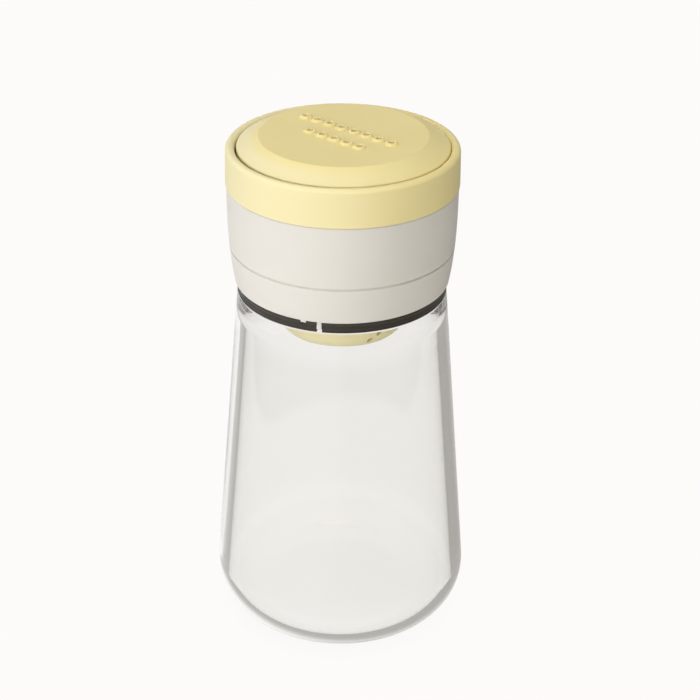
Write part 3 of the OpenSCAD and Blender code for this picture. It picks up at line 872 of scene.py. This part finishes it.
def camera():
    """A long view from a little above, turned by half a degree about its own axis."""
    data = bpy.data.cameras.new("camera")
    data.lens = CAMERA_LENS
    data.sensor_width = CAMERA_FRAME
    obj = bpy.data.objects.new("camera", data)
    bpy.context.scene.collection.objects.link(obj)
    tilt = Matrix.Rotation(math.radians(90 - CAMERA_DOWN), 4, "X")
    roll = Matrix.Rotation(math.radians(CAMERA_ROLL), 4, "Z")
    obj.matrix_world = moved(*CAMERA_PLACE) @ tilt @ roll
    bpy.context.scene.camera = obj


# Name, azimuth and elevation in degrees as seen from the object, diameter in metres, watts
LAMPS = [
    ("key", -150, 10, 0.45, 3.2),
    ("front_fill", -90, 8, 0.6, 3.2),
    ("left_fill", 180, 12, 0.6, 0.5),
    ("overhead", -90, 85, 0.6, 5.4),
    ("right_fill", -40, 12, 0.6, 0.5),
]
LAMP_DISTANCE = 0.9
LAMP_AIM = Vector((0, 0, 0.10))


def lamp(name, azimuth, elevation, size, watts):
    """A soft round lamp on a sphere around the object."""
    data = bpy.data.lights.new(name, "AREA")
    data.shape = "DISK"
    data.size = size
    data.energy = watts
    obj = bpy.data.objects.new(name, data)
    bpy.context.scene.collection.objects.link(obj)
    away = (Matrix.Rotation(math.radians(azimuth), 3, "Z")
            @ Matrix.Rotation(math.radians(-elevation), 3, "Y"))
    place = LAMP_AIM + away @ Vector((LAMP_DISTANCE, 0, 0))
    turn = (LAMP_AIM - place).to_track_quat("-Z", "Y")
    obj.matrix_world = Matrix.Translation(place) @ turn.to_matrix().to_4x4()
    obj.visible_glossy = False
    obj.visible_transmission = False


# ---------------------------------------------------------------- surroundings and floor
BACKDROP = (0.982, 0.965, 0.948, 1)
LIGHT_SIDE = (1, 0.99, 0.97, 1)
SHADE_SIDE = (0.52, 0.50, 0.47, 1)
TURNED_ASIDE = (0.42, 0.408, 0.385, 1)
FLOOR_COLOUR = (0.9, 0.89, 0.87, 1)
WORLD_LIGHT = 0.05
SKY_TURN = 0.4
FLOOR_TURN = 40 * MM
FLOOR_R = 6.0
FLOOR_ROUGHNESS = 0.9
FLOOR_DROP = 0.1 * MM
CONTACT_REACH = 5 * MM
CONTACT_SHADE = 0.97


def surroundings(tree, place, turn, shade):
    """The surroundings' colour, and 1 for the rays that see it but don't light with it.

    The backdrop is white behind and through the object. Reflections fall from a white left side
    to a soft grey right side, over a turn to both sides of X = 0. Rays that glass has turned
    aside see grey where shade is 1.
    """
    path = node(tree, "ShaderNodeLightPath").outputs
    x = node(tree, "ShaderNodeSeparateXYZ", {"Vector": place}).outputs["X"]
    side = ramp(tree, x, -turn, turn, curve="SMOOTHSTEP")
    bounced = maths(tree, "GREATER_THAN", path["Is Glossy Ray"], path["Is Transmission Ray"])
    reflected = maths(tree, "GREATER_THAN", path["Glossy Depth"], 0.5)
    aside = maths(tree, "MULTIPLY", reflected, path["Is Transmission Ray"])
    beyond = mixed(tree, maths(tree, "MULTIPLY", aside, shade), BACKDROP, TURNED_ASIDE)
    colour = mixed(tree, bounced, beyond, mixed(tree, side, LIGHT_SIDE, SHADE_SIDE))
    direct = maths(tree, "MAXIMUM", path["Is Camera Ray"], path["Is Glossy Ray"])
    return colour, maths(tree, "MAXIMUM", direct, path["Is Transmission Ray"])


# The pale strip on the floor: where it begins to widen, its widening per metre on the left and
# on the right, how far left its middle lies, and the band in which it ends
STRIP_START_Y = 12 * MM
STRIP_WIDEN = (0.58, 0.12)
STRIP_WIDEN_X = (-5 * MM, 5 * MM)
STRIP_LEFT = 3 * MM
STRIP_EDGE = (35 * MM, 42 * MM)


def away_from_strip(tree, place):
    """1 on the floor outside a pale strip, a disc under the object that widens behind it."""
    spot = node(tree, "ShaderNodeSeparateXYZ", {"Vector": place}).outputs
    along = maths(tree, "SUBTRACT", spot["Y"], STRIP_START_Y)
    front = maths(tree, "MINIMUM", along, 0.0)
    back = maths(tree, "MAXIMUM", along, 0.0)
    spread = maths(tree, "MULTIPLY", back, ramp(tree, spot["X"], *STRIP_WIDEN_X, *STRIP_WIDEN))
    across = maths(tree, "ABSOLUTE", maths(tree, "ADD", spot["X"], STRIP_LEFT))
    beside = maths(tree, "MAXIMUM", maths(tree, "SUBTRACT", across, spread), 0.0)
    gap = node(tree, "ShaderNodeCombineXYZ", {"X": beside, "Y": front}).outputs["Vector"]
    length = node(tree, "ShaderNodeVectorMath", {0: gap}, operation="LENGTH").outputs["Value"]
    return ramp(tree, length, *STRIP_EDGE, curve="SMOOTHSTEP")


def studio_world():
    """White where it is looked at, and dim as a light."""
    world = bpy.data.worlds.new("studio")
    bpy.context.scene.world = world
    world.use_nodes = True
    tree = world.node_tree
    tree.nodes.clear()
    direction = node(tree, "ShaderNodeTexCoord").outputs["Generated"]
    colour, seen = surroundings(tree, direction, SKY_TURN, 1.0)
    light = node(tree, "ShaderNodeBackground", {"Color": LIGHT_SIDE, "Strength": WORLD_LIGHT})
    shown = node(tree, "ShaderNodeBackground", {"Color": colour, "Strength": 1.0})
    mix = node(tree, "ShaderNodeMixShader", {0: seen, 1: light.outputs["Background"],
                                             2: shown.outputs["Background"]})
    node(tree, "ShaderNodeOutputWorld", {"Surface": mix.outputs["Shader"]})


def studio_floor():
    """Pale floor that shows as the backdrop's white, with a faint contact shadow.

    It lies a little below the bottle's base, so that the two faces don't coincide.
    """
    bm = bmesh.new()
    bmesh.ops.create_circle(bm, cap_ends=True, segments=96, radius=FLOOR_R,
                            matrix=moved(0, 0, -FLOOR_DROP))
    floor = new_object("studio_floor", bm)
    mat, tree, shader = new_finish("studio_floor")
    shader.inputs["Base Color"].default_value = FLOOR_COLOUR
    shader.inputs["Roughness"].default_value = FLOOR_ROUGHNESS
    place = node(tree, "ShaderNodeTexCoord").outputs["Object"]
    colour, seen = surroundings(tree, place, FLOOR_TURN, away_from_strip(tree, place))
    near = node(tree, "ShaderNodeAmbientOcclusion", {"Distance": CONTACT_REACH}, samples=12)
    contact = ramp(tree, near.outputs["AO"], 0.0, 1.0, CONTACT_SHADE, 1.0)
    through_glass = node(tree, "ShaderNodeLightPath").outputs["Is Transmission Ray"]
    glow = node(tree, "ShaderNodeEmission",
                {"Color": colour, "Strength": maths(tree, "MAXIMUM", contact, through_glass)})
    mix = node(tree, "ShaderNodeMixShader", {0: seen, 1: shader.outputs["BSDF"],
                                             2: glow.outputs["Emission"]})
    put(tree, mix.outputs["Shader"], tree.nodes["Material Output"].inputs["Surface"])
    floor.data.materials.append(mat)


camera()
studio_world()
studio_floor()
for lamp_name, azimuth, elevation, size, watts in LAMPS:
    lamp(lamp_name, azimuth, elevation, size, watts)

scene = bpy.context.scene
scene.view_settings.view_transform = "Standard"
